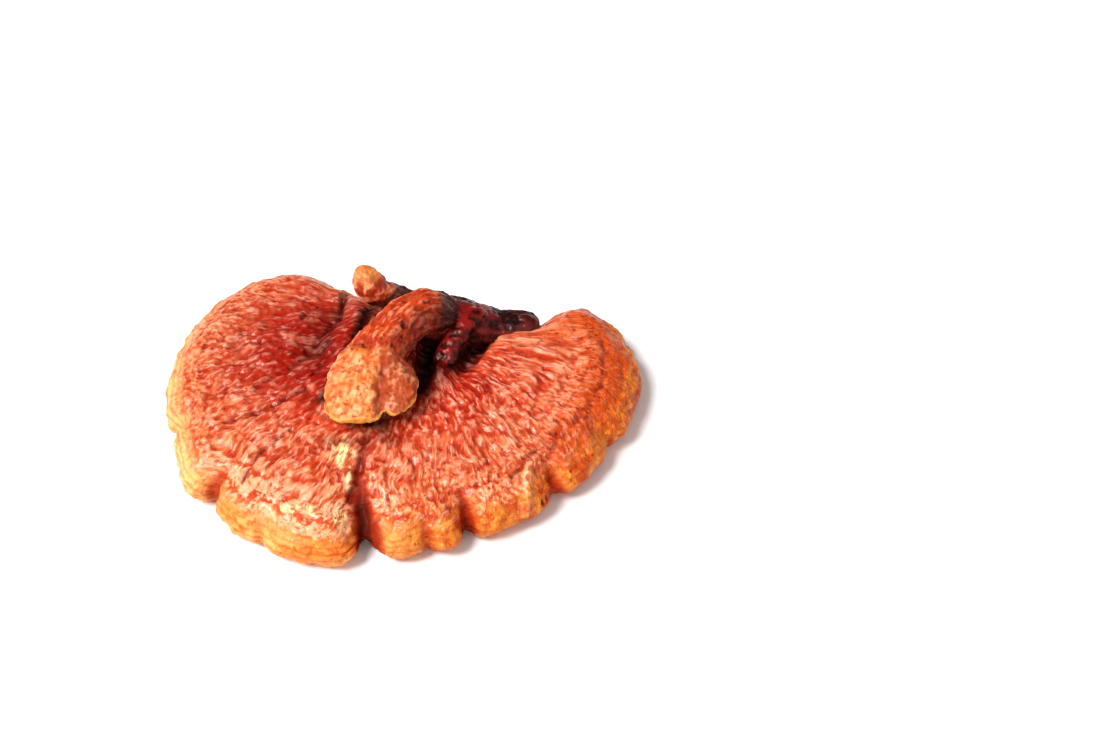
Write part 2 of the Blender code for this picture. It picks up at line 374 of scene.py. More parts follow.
def move_points(mesh, points):
    """Moves the mesh's points to these, in millimetres, and none of them out of the CAD model's box."""
    low, high = (np.array(corner) / MM for corner in cad_box)
    places = np.clip(points, low, high) * MM
    mesh.vertices.foreach_set("co", places.astype(np.float32).ravel())
    mesh.update()


def keep(mesh, **values):
    """Stores numbers on the points of a mesh, for its material to read."""
    for name, value in values.items():
        attribute = mesh.attributes.new(name, "FLOAT", "POINT")
        attribute.data.foreach_set("value", np.asarray(value, np.float32))


def cap_mesh():
    """The cap before its relief. For each point, also its place in plan, whether it is on top, its distance
    from the margin, its share of the way there from the centre of growth, and its distance from that."""
    smooth = evenly_spaced(curve_through(MARGIN, 40, closed=True), CAP_COLUMNS)
    outline = Loop(smooth)
    seen = np.arctan2(*(smooth - CORE_CENTRE).T[::-1])
    turn = -2 * math.pi * np.arange(CAP_COLUMNS) / CAP_COLUMNS
    turn += np.angle(np.exp(1j * (seen - turn)).mean())
    turn += CORE_PULL * np.angle(np.exp(1j * (seen - turn)))
    core = CORE_CENTRE + CORE_RADIUS * np.column_stack([np.cos(turn), np.sin(turn)])
    inward = (core - smooth) / np.linalg.norm(core - smooth, axis=1, keepdims=True)

    def set_in(wanted):
        """The margin moved in, until each point of it is the wanted distance from where it was."""
        run = np.full(CAP_COLUMNS, float(wanted))
        for _ in range(10):
            run += wanted - outline.distance(smooth + inward * run[:, None])
        return smooth + inward * run[:, None]

    def filled(ring, spacing):
        """Points inside a ring, evenly spread, and the triangles over them and the ring."""
        low, high = ring.min(axis=0), ring.max(axis=0)
        grid = []
        for k, y in enumerate(np.arange(low[1], high[1], spacing * math.sqrt(3) / 2)):
            grid += [(x, y) for x in np.arange(low[0] + spacing / 2 * (k % 2), high[0], spacing)]
        grid = np.array(grid)
        grid = grid[inside_of(ring, grid)]
        grid = grid[Loop(ring).distance(grid) > 0.6 * spacing]
        everything = [Vector(p) for p in np.vstack([ring, grid])]
        edges = [(i, (i + 1) % len(ring)) for i in range(len(ring))]
        _, _, faces, origins, _, _ = delaunay_2d_cdt(everything, edges, [], INSIDE_ONLY, 1e-7)
        return grid, [tuple(origins[v][0] for v in face) for face in faces]

    def band(width, turn, rows):
        """Rings set in from the margin, close together where the band is steep."""
        return [set_in(width * (1.0 - math.cos(angle))) for angle in np.linspace(0.0, turn, rows + 1)[1:]]

    top_rings = band(SHOULDER_RUN, TOP_BAND_TURN, TOP_BAND_ROWS)
    under_rings = band(HEEL_RUN, math.pi / 2, UNDER_BAND_ROWS)
    top_fill, top_faces = filled(top_rings[-1], TOP_SPACING)
    under_fill, under_faces = filled(under_rings[-1], UNDER_SPACING)

    n = CAP_COLUMNS
    plan = np.vstack([smooth, *top_rings, top_fill, *under_rings, under_fill])
    top_count = n * (1 + len(top_rings)) + len(top_fill)
    top = np.arange(len(plan)) < top_count
    faces = []

    def strip(first, second, flip):
        for i in range(n):
            j = (i + 1) % n
            quad = (first + i, first + j, second + j, second + i)
            faces.append(quad[::-1] if flip else quad)

    for k in range(len(top_rings)):
        strip(n * k, n * (k + 1), True)
    last = n * len(top_rings)
    faces += [tuple(v + last for v in face) for face in top_faces]
    starts = [0] + [top_count + n * k for k in range(len(under_rings))]
    for first, second in zip(starts, starts[1:]):
        strip(first, second, False)
    faces += [tuple(v + starts[-1] for v in face)[::-1] for face in under_faces]

    margin = Loop(drawn_in(smooth))
    plan = drawn_in(plan)
    from_margin = margin.distance(plan)
    from_margin[:n] = 0.0
    soft = margin.soft_distance(plan)
    from_centre = np.linalg.norm(plan - GROWTH_CENTRE, axis=1)
    near = smoothstep(9.0, 3.0, from_margin)
    soft = from_margin * near + soft * (1.0 - near)
    share = from_centre / (from_centre + soft)
    height = np.where(top, top_height(plan, from_margin, share), under_height(from_margin))
    points = np.column_stack([plan, height]) + SHIFT
    return points, faces, plan, top, from_margin, share, from_centre


def inside_of(ring, places):
    """Which of the places are inside the ring."""
    after = np.roll(ring, -1, axis=0)
    crossings = np.zeros(len(places), int)
    x, y = places.T
    for (x0, y0), (x1, y1) in zip(ring, after):
        if y0 != y1:
            crossings += ((y0 > y) != (y1 > y)) & (x < x0 + (y - y0) / (y1 - y0) * (x1 - x0))
    return crossings % 2 == 1


def strongest(plan, lines):
    """The most that any of the lines gives each point. A line is two ends, a strength and a half width."""
    return np.max([much * from_line(plan, start, end, wide) for start, end, much, wide in lines], axis=0)


def cleft_shade(plan):
    """How much painted shade lies in the clefts at each point."""
    shade = 0.80 * from_line(plan, *CLEFT_SHADE)
    for outer, inner, _, groove, half_width in CLEFTS:
        line = fading_line(plan, outer, inner, 0.75 * half_width, (1.05, 0.4))
        shade = np.maximum(shade, line * min(groove / 4, 1.0))
    return shade


def cap_marks(plan, top, from_margin):
    """How deep the cap's single marks go at each point, and how much it is creased or pitted, and scuffed."""
    x, y = plan.T
    # The clefts bite in sharply along their middle.
    depth = np.zeros(len(plan))
    bent = plan + 0.5 * np.column_stack([grain(54, x / 5, y / 5), grain(55, x / 5, y / 5)])
    for outer, inner, cut, _, half_width in CLEFTS:
        bite = from_line(bent, outer, inner, 0.32 * half_width)
        bite *= smoothstep(0.85, 0.3, share_along(plan, outer, inner))
        depth += min(0.45 * cut, 2.2) * bite

    # Creases wander and fade in and out.
    crease = np.zeros(len(plan))
    wavy = plan + 0.35 * np.column_stack([grain(51, x / 3, y / 3), grain(52, x / 3, y / 3)])
    fade = 0.50 + 0.50 * smoothstep(-0.35, 0.25, grain(50, x / 2.2, y / 2.2))
    for start, end, cut, half_width in CREASES:
        line = from_line(wavy, start, end, half_width) * fade
        depth += cut * line
        crease = np.maximum(crease, line * min(cut, 1.0))

    # The furrow behind the right margin's smooth band.
    off_furrow = from_margin - 10.0 + 1.6 * grain(57, x / 8, y / 8) + 0.6 * grain(58, x / 2.5, y / 2.5)
    furrow = np.exp(-((off_furrow / 1.3) ** 2)) * smoothstep(14, 30, x) * smoothstep(34, 22, y) * top
    furrow *= 0.3 + 0.7 * smoothstep(-0.3, 0.3, grain(59, x / 4, y / 4))
    depth += 0.8 * furrow
    crease = np.maximum(crease, 0.6 * furrow)

    pit = np.zeros(len(plan))
    for pit_x, pit_y, radius in PITS:
        gap = np.hypot(x - pit_x, y - pit_y) / radius
        pit = np.maximum(pit, smoothstep(1.1, 0.5, gap + 0.25 * grain(53, x, y)))
    pale_ridge = from_line(plan, *PALE_RIDGE) * top
    depth += pit * top - 1.1 * pale_ridge

    scuff = 0.25 * pale_ridge
    for scuff_x, scuff_y, wide, deep in SCUFFS:
        gap = np.hypot((x - scuff_x) / wide, (y - scuff_y) / deep)
        scuff = np.maximum(scuff, smoothstep(1.2, 0.3, gap + 0.5 * grain(56, x / 2, y / 2)))
    return depth, np.clip(crease + pit, 0, 1) * top, scuff


def build_cap():
    """The cap, with rings and wrinkles above, growth lines round the rim and pores below."""
    points, faces, plan, top, from_margin, share, from_centre = cap_mesh()
    piece = mesh_object("cap_skin", points, faces)
    mesh = piece.data
    normals = normals_of(mesh)
    x, y = plan.T
    z = points[:, 2]
    bearing = np.arctan2(x - GROWTH_CENTRE[0], GROWTH_CENTRE[1] - y)

    # Wander of the growth lines and rings.
    bearing_here = bearing + 0.035 * grain(12, x / 9, y / 9) + 0.004 * grain(13, x / 2.5, y / 2.5)
    run = share * GROWTH_LENGTH + 1.6 * grain(11, x / 14, y / 14) + 0.7 * grain(14, x / 4, y / 4)
    arc = np.where(
        top,
        -SHOULDER_RUN * np.arccos(np.clip(1 - from_margin / SHOULDER_RUN, 0, 1)) * 0.85,
        HEEL_RUN * np.arccos(np.clip(1 - from_margin / HEEL_RUN, 0, 1)),
    )
    down = run + arc

    # Rings: furrows across the growth lines, and rows of wrinkles between them.
    phase = run / RING_SPACING + 0.45 * grain(31, bearing * 2.2, share * 5)
    ring = np.abs(np.sin(math.pi * phase)) ** 0.6
    ring_strength = smoothstep(-0.35, 0.45, grain(32, bearing * 3.0, share * 8) + 0.15)

    # Wrinkles: short ridges along the growth lines, with sharp valleys between them.
    comb = fan_comb(21, bearing_here, from_centre, run, np.floor(phase), COMB_PITCH)
    streaks = fan_grain(24, bearing_here, from_centre, down, 2.1, 2.6)
    fine = fan_grain(22, bearing_here, from_centre, down, 1.1, 1.4)
    pebbles = grain(23, x / 1.7, y / 1.7, 0.5)
    leftness = smoothstep(-14, -32, x) * smoothstep(-26, 4, y)
    comb *= smoothstep(-0.5, 0.5, grain(25, x / 3.4, y / 3.4))
    comb *= 1 - 0.65 * smoothstep(8, 26, np.abs(x - 4)) * smoothstep(5, 20, y)
    wrinkles = (0.42 * comb + 0.85 * streaks) * (1 - 0.35 * leftness) + pebbles * (0.40 + 0.30 * leftness)
    wrinkles = smoothstep(-0.70, 0.80, wrinkles + 0.40 * fine)

    # Over the rim: growth lines parallel to the margin.
    rim = smoothstep(9.0, 3.0, from_margin)
    rim_run = arc + 1.1 * grain(33, bearing * 4.0, arc / 14) + 0.35 * grain(34, x / 3, y / 3, z / 3)
    terraces = np.abs(np.sin(math.pi * rim_run / TERRACE_SPACING)) ** 0.5

    # How strong each of them is at each place.
    inner = smoothstep(1.5, 8.0, from_margin)
    rightness = smoothstep(30, 55, x)
    calm_rim = smoothstep(6.0 + 9.0 * rightness, 12.0 + 9.0 * rightness, from_margin)
    frontness = smoothstep(4, -12, x) * smoothstep(-66, -46, x) * smoothstep(20, 12, from_margin)
    frontness *= smoothstep(-12, -30, y)
    calm_rim *= 1 - 0.35 * frontness
    near_stem = smoothstep(26, 12, from_centre)
    wrinkle_depth = (0.16 + 0.50 * calm_rim) * (0.35 + 0.65 * inner) * (1 - 0.4 * near_stem)
    relief = wrinkle_depth * (wrinkles - 1.0)
    ring_depth = (0.50 + 0.25 * frontness) * (0.5 + 0.5 * calm_rim) * (1 - 0.7 * near_stem)
    relief += ring_depth * ring_strength * (ring - 1.0)
    terraces = 1.0 - (1.0 - terraces) * (0.35 + 0.65 * smoothstep(-0.3, 0.4, grain(36, bearing * 4.0, arc / 5)))
    relief += 0.55 * rim * (terraces - 1.0)

    # Lumps of all sizes, the finest of them over the rim only.
    relief += 0.65 * (grain(41, x / 11, y / 11) - 0.35) + 0.40 * (grain(42, x / 5, y / 5, z / 5) - 0.4)
    relief += 0.22 * (grain(45, x / 2.8, y / 2.8, z / 2.8) - 0.4)
    relief += 0.45 * rim * (grain(43, x / 3.6, y / 3.6, z / 5) - 0.5)
    relief += 0.30 * rim * (grain(44, x / 1.7, y / 1.7, z / 2.2) - 0.5)

    marks, crease, scuff = cap_marks(plan, top, from_margin)
    relief -= marks

    # The pore surface is nearly smooth, and flattened where it rests on the floor.
    under = smoothstep(HEEL_RUN * 0.75, HEEL_RUN + 1.5, from_margin) * ~top
    pores = 0.25 * (grain(61, x / 6, y / 6) - 0.3) + 0.10 * (grain(62, x / 1.6, y / 1.6) - 0.5)
    relief = relief * (1 - under) + under * pores
    rests = ~top & (from_margin > HEEL_RUN * 0.8) & (from_margin < HEEL_RUN + FLAT_RUN)
    moved = points + normals * relief[:, None]
    moved[:, 2] = np.maximum(moved[:, 2], 0.0)
    moved[rests, 2] *= 0.6
    move_points(mesh, moved)

    even, odd, odd_share = fan_lines(bearing_here, from_centre)
    keep(
        mesh,
        dark=strongest(plan, DARK_AND_SHADED_PLACES) * top,
        scuff=scuff,
        front=frontness,
        even=even,
        odd=odd,
        odd_share=odd_share,
        run=down,
        rim_run=rim_run,
        growth=share,
        margin=from_margin,
        ridge=wrinkles,
        ring=ring,
        terrace=terraces,
        crease=crease,
        cleft=cleft_shade(plan),
        pores=under,
        plan_x=x,
        plan_y=y,
    )
    return piece


# Branches -------------------------------------------------

# Stations along each one, as x, y, z, half width, half height.
STEM = (
    (-7, 31, 19, 2.5, 2.5), (-5.5, 31, 19, 5.2, 5.2), (-1, 31, 19.5, 7.8, 7.8), (5, 31, 19, 8.5, 8.5),
    (12, 31, 17, 8.6, 8.6), (20, 32, 14.5, 8, 8), (27, 33, 12.2, 6.8, 6.6), (33, 33.6, 11.8, 6.2, 6.2),
    (36.5, 33.8, 11.9, 6, 5.8), (38.8, 33.9, 11.9, 5.2, 5), (40, 34, 11.9, 3.8, 3.6), (40.5, 34, 11.9, 2.2, 2),
)
BUTTRESS = (
    (25, 33, 17, 2.2, 2.2), (21.5, 31, 20.4, 3.2, 3), (17.6, 25, 20.4, 3.2, 3), (15, 20.6, 19, 3.4, 2.6),
    (13.4, 17.2, 17.2, 3.6, 2.4), (12, 14, 15, 3.4, 2), (11, 11.5, 12.8, 2.4, 1.6),
)
FINGER = (
    (16, 31, 14.5, 4, 4), (13, 31, 20, 6.4, 5), (8.6, 29, 24.2, 7.8, 6), (3, 24, 26.4, 7.8, 5.6),
    (-2.3, 17, 26.5, 7.8, 5.2), (-6.3, 9.5, 26.3, 8.8, 5), (-8.6, 3.5, 26.1, 10, 4.8),
    (-9.6, -2, 25.4, 10.6, 4.4), (-10.2, -7, 24.4, 9.8, 3.8), (-10.6, -10.5, 23.6, 6.8, 3),
)
LEFT_LOBE = (
    (-11.5, 7.5, 25.8, 5, 3.2), (-12.4, 2, 26, 7.4, 4.2), (-12.4, -4, 25.4, 8.8, 4.4),
    (-11.8, -9, 24.3, 9.2, 3.9), (-11.2, -12.6, 23.4, 8, 3), (-11, -14.8, 22.9, 5.2, 1.6),
)
RIGHT_LOBE = (
    (-5, 6.5, 25.6, 4.6, 3.2), (-2.4, 2.6, 25.2, 6, 3.6), (-0.6, -1.5, 24.6, 6.4, 3.6),
    (-0.8, -6, 23.8, 6, 3.1), (-2.2, -9.4, 23.3, 5, 2.3), (-3.2, -11.6, 22.9, 3.2, 1.3),
)
BUD = (
    (3, 31.5, 24.5, 4.6, 4.6), (-3, 31.5, 28, 3.9, 3.9), (-7.2, 31, 30.2, 4.3, 4.6), (-9.6, 31, 33.4, 4.9, 4.9),
    (-10.2, 31, 36.4, 4.2, 4.2), (-10.1, 31, 38.2, 2.9, 2.9), (-10, 31, 38.7, 1.4, 1.4),
)
LOFT_SIDES = 32
LOFT_ROWS = 6


def lofted(name, stations):
    """A closed tube over the stations, with its ends rounded by the last of them."""
    line = curve_through(stations, LOFT_ROWS)
    points, faces = [], []
    for i, (x, y, z, half_width, half_height) in enumerate(line):
        ahead = Vector(line[min(i + 1, len(line) - 1)][:3]) - Vector(line[max(i - 1, 0)][:3])
        across = ahead.cross(Vector((0, 0, 1))).normalized()
        up = across.cross(ahead).normalized()
        for k in range(LOFT_SIDES):
            turn = 2 * math.pi * k / LOFT_SIDES
            offset = across * half_width * math.cos(turn) + up * half_height * math.sin(turn)
            points.append(np.array(Vector((x, y, z)) + offset) + SHIFT)
    for i in range(len(line) - 1):
        for k in range(LOFT_SIDES):
            a, b = i * LOFT_SIDES + k, i * LOFT_SIDES + (k + 1) % LOFT_SIDES
            faces.append((a, b, b + LOFT_SIDES, a + LOFT_SIDES))
    faces.append(tuple(range(LOFT_SIDES))[::-1])
    faces.append(tuple(range(len(points) - LOFT_SIDES, len(points))))
    return mesh_object(name, points, faces)


def grown_together(name, bodies, voxel, smoothing):
    """One skin round all the bodies, of voxels that many millimetres wide, with its corners softened."""
    with bpy.context.temp_override(active_object=bodies[0], selected_editable_objects=bodies):
        if len(bodies) > 1:
            bpy.ops.object.join()
    body = bodies[0]
    remesh = body.modifiers.new("skin", "REMESH")
    remesh.mode = "VOXEL"
    remesh.voxel_size = voxel * MM
    soften = body.modifiers.new("soften", "SMOOTH")
    soften.factor = 0.5
    soften.iterations = smoothing
    graph = bpy.context.evaluated_depsgraph_get()
    mesh = bpy.data.meshes.new_from_object(body.evaluated_get(graph))
    mesh.name = name
    piece = in_scene(name, mesh)
    bpy.data.objects.remove(body)
    mesh.shade_smooth()
    return piece


def along_branch(points, stations):
    """For each point, how far along the branch it is and its offset from the branch's line, sideways and up."""
    line = curve_through(stations, 8)[:, :3] + SHIFT
    tree = tree_of(line)
    near = np.array([tree.find(p)[1] for p in points])
    length = np.concatenate([[0], np.cumsum(np.linalg.norm(np.diff(line, axis=0), axis=1))])
    ahead = np.gradient(line, axis=0)
    ahead /= np.linalg.norm(ahead, axis=1, keepdims=True)
    offset = points - line[near]
    forward = (offset * ahead[near]).sum(axis=1)
    across = np.cross(ahead[near], (0.0, 0.0, 1.0))
    across /= np.linalg.norm(across, axis=1, keepdims=True)
    up = np.cross(across, ahead[near])
    return length[near] + forward, (offset * across).sum(axis=1), (offset * up).sum(axis=1)


def build_stem():
    bodies = [lofted("stem_loft", STEM), lofted("buttress_loft", BUTTRESS)]
    piece = grown_together("stem_skin", bodies, 0.4, 5)
    mesh = piece.data
    points, normals = points_of(mesh), normals_of(mesh)
    run, across, up = along_branch(points, STEM)
    x, y, z = points.T
    flutes = grain(71, run / 7, across / 2.4, up / 2.4) + 0.4 * grain(74, x / 1.5, y / 1.5, z / 1.5)
    flutes = smoothstep(-0.5, 0.5, flutes)
    fine = billow(grain(73, run / 2.6, across / 1.3, up / 1.3))
    cut = smoothstep(38.9, 39.9, x - SHIFT[0])
    relief = 0.55 * (flutes - 0.7) + 0.5 * grain(72, x / 6, y / 6, z / 6) + 0.16 * (fine - 0.6)
    relief *= 1 - cut
    move_points(mesh, points + normals * relief[:, None])
    rib = from_line(points[:, :2] - SHIFT[:2], *STEM_RIB) * smoothstep(17, 20, z)
    keep(mesh, ridge=flutes, rib=rib, cut=cut)
    return piece


def build_side_shoot():
    bodies = [lofted("finger", FINGER), lofted("left_lobe", LEFT_LOBE), lofted("right_lobe", RIGHT_LOBE)]
    piece = grown_together("side_shoot_skin", bodies, 0.32, 7)
    mesh = piece.data
    points, normals = points_of(mesh), normals_of(mesh)
    run, across, up = along_branch(points, FINGER)
    x, y, z = (points - SHIFT).T
    knob = smoothstep(9.5, 4.0, y + 0.8 * grain(81, x / 3, y / 3, z / 3))
    folds = grain(82, run / 5.5, across / 1.7, up / 1.7) + 0.7 * grain(86, run / 2, across, up)
    folds = smoothstep(-0.6, 0.6, folds)
    pebbles = grain(83, x / 1.6, y / 2.6, z / 2) + 0.6 * grain(87, x / 0.9, y / 1.4, z / 1.2)
    pebbles = smoothstep(-0.7, 0.7, pebbles)
    wandering = np.column_stack([x + 0.8 * grain(80, y / 4, z / 4), y])
    groove = from_line(wandering, *KNOB_GROOVE) * smoothstep(22, 25, z)
    holes = smoothstep(0.42, 0.62, grain(84, x / 2, y / 2, z / 2)) * (1 - knob)
    relief = 0.65 * (folds - 0.7) * (1 - knob) + 0.34 * (pebbles - 0.7) * (0.4 + 0.6 * knob)
    relief += 0.75 * grain(85, x / 5, y / 5, z / 5) - 0.55 * holes - 0.8 * groove
    move_points(mesh, points + normals * relief[:, None])
    facing_up = normals[:, 2] + 0.3 * grain(89, x / 3, y / 3, z / 3)
    sideways = across + 1.2 * grain(79, x / 2.5, y / 2.5, z / 2.5)
    keep(
        mesh,
        ridge=folds * (1 - knob) + pebbles * knob,
        knob=knob,
        lip=smoothstep(0.45, 0.05, facing_up) * smoothstep(5, 0, y),
        holes=holes,
        # Painted shade over the knob's right lobe, which faces away from the key lamp.
        ear=smoothstep(-6.4, -4.6, x) * knob,
        # Painted shade down the finger's right side.
        lee=smoothstep(-0.5, -5.5, sideways) * (1 - knob),
        groove=groove,
        root=smoothstep(9.0, 14.0, x + 2.5 * grain(88, x / 2.5, y / 2.5, z / 2.5)),
    )
    return piece


def build_bud():
    piece = grown_together("bud_skin", [lofted("bud_loft", BUD)], 0.26, 5)
    mesh = piece.data
    points, normals = points_of(mesh), normals_of(mesh)
    x, y, z = (points - SHIFT).T
    pebbles = grain(91, x / 2, y / 2, z / 2.6) + 0.5 * grain(93, x / 1.1, y / 1.1, z / 1.1)
    pebbles = smoothstep(-0.5, 0.5, pebbles)
    relief = 0.30 * (pebbles - 0.8) + 0.40 * (grain(92, x / 3.4, y / 3.4, z / 3.4) - 0.2)
    move_points(mesh, points + normals * relief[:, None])
    # The neck, where the bud meets the stem, is given painted shade.
    neck = smoothstep(31.3, 29.0, z - 0.35 * (x + 7))
    keep(mesh, ridge=pebbles, neck=neck, tip=smoothstep(35.5, 38.2, z))
    return piece


# Materials ------------------------------------------------


HIGHLIGHT_TINT = (1.0, 0.72, 0.60, 1.0)


def linear(red, green, blue):
    """A colour given as eight-bit display values, for a shader."""
    values = np.array((red, green, blue)) / 255
    values = np.where(values <= 0.04045, values / 12.92, ((values + 0.055) / 1.055) ** 2.4)
    return (*values.tolist(), 1.0)


class Skin:
    """A node material under construction. Its colours are eight-bit display values."""

    def __init__(self, name, roughness=0.4, coat=0.0, coat_roughness=0.3, specular=0.5):
        self.material = bpy.data.materials.new(name)
        self.material.use_nodes = True
        self.tree = self.material.node_tree
        self.shader = self.tree.nodes["Principled BSDF"]
        self.shader.inputs["Roughness"].default_value = roughness
        self.shader.inputs["Coat Weight"].default_value = coat
        self.shader.inputs["Coat Roughness"].default_value = coat_roughness
        self.shader.inputs["Specular IOR Level"].default_value = specular
        self.shader.inputs["Specular Tint"].default_value = HIGHLIGHT_TINT
        self.place = self.node("ShaderNodeTexCoord").outputs["Object"]

    def link(self, source, target):
        """Feeds a socket from another one, a number or a colour."""
        if isinstance(source, (int, float)):
            target.default_value = source
        elif isinstance(source, tuple):
            target.default_value = linear(*source)
        else:
            self.tree.links.new(source, target)

    def node(self, kind, inputs=None, **settings):
        made = self.tree.nodes.new(kind)
        for key, value in settings.items():
            setattr(made, key, value)
        for key, source in (inputs or {}).items():
            self.link(source, made.inputs[key])
        return made

    def value(self, name):
        return self.node("ShaderNodeAttribute", attribute_name=name).outputs["Fac"]

    def sums(self, operation, *values):
        return self.node("ShaderNodeMath", dict(enumerate(values)), operation=operation).outputs[0]

    def times(self, first, *others):
        for other in others:
            first = self.sums("MULTIPLY", first, other)
        return first

    def swing(self, value, width):
        """A noise's values, moved to lie round 0 and stretched to that width."""
        return self.sums("MULTIPLY_ADD", value, width, -width / 2)

    def span(self, value, low, high, to_low=0.0, to_high=1.0):
        inputs = {"Value": value, "From Min": low, "From Max": high, "To Min": to_low, "To Max": to_high}
        return self.node("ShaderNodeMapRange", inputs, interpolation_type="SMOOTHSTEP").outputs["Result"]

    def noise(self, size, detail=3.0, roughness=0.55):
        """Noise whose features are about size millimetres across."""
        inputs = {"Scale": 1.0 / (size * MM), "Detail": detail, "Roughness": roughness, "Vector": self.place}
        return self.node("ShaderNodeTexNoise", inputs).outputs["Fac"]

    def fan(self, pitch, length, seed=0.0):
        """Noise in streaks along the cap's growth lines, pitch by length in millimetres."""
        found = []
        for lines, offset in (("even", 0.5), ("odd", 9.5)):
            across = self.times(self.value(lines), 1.4 / pitch)
            along = self.times(self.value("run"), 1.0 / length)
            place = self.node("ShaderNodeCombineXYZ", {0: across, 1: along, 2: offset + seed}).outputs[0]
            inputs = {"Scale": 1.0, "Detail": 2.0, "Vector": place}
            found.append(self.node("ShaderNodeTexNoise", inputs).outputs["Fac"])
        inputs = {0: self.value("odd_share"), 2: found[0], 3: found[1]}
        return self.node("ShaderNodeMix", inputs, data_type="FLOAT").outputs[0]

    def cells(self, size):
        inputs = {"Scale": 1.0 / (size * MM), "Vector": self.place}
        return self.node("ShaderNodeTexVoronoi", inputs).outputs["Distance"]

    def mix(self, share, first, second):
        return self.node("ShaderNodeMix", {"Factor": share, 6: first, 7: second}, data_type="RGBA").outputs[2]

    def layered(self, body, *layers):
        """Body with layers over it in turn. Each is (colour, strength, value, low, high): none of the colour
        where the value is low, and that strength of it where the value is high."""
        for colour, strength, value, low, high in layers:
            body = self.mix(self.span(value, low, high, 0.0, strength), body, colour)
        return body

    def stained_and_shaded(self, body, *stains):
        """Body with stains and painted shade over it in turn. Each is (colour, strength, share), and strength
        times share of the colour shows."""
        for colour, strength, share in stains:
            body = self.mix(self.times(share, strength), body, colour)
        return body

    def ramp(self, value, *stops):
        made = self.node("ShaderNodeValToRGB", {"Fac": value})
        elements = made.color_ramp.elements
        while len(elements) < len(stops):
            elements.new(0.5)
        for element, (at, colour) in zip(elements, stops):
            element.position = at
            element.color = linear(*colour)
        return made.outputs["Color"]

    def finish(self, colour, roughness=None, bumps=()):
        """The finished material. Bumps are (height in millimetres, value) pairs."""
        self.link(colour, self.shader.inputs["Base Color"])
        if roughness is not None:
            self.link(roughness, self.shader.inputs["Roughness"])
        normal = {}
        for height, value in bumps:
            inputs = {"Strength": 1.0, "Distance": height * MM, "Height": value, **normal}
            normal = {"Normal": self.node("ShaderNodeBump", inputs).outputs["Normal"]}
        for key, source in normal.items():
            self.link(source, self.shader.inputs[key])
        return self.material


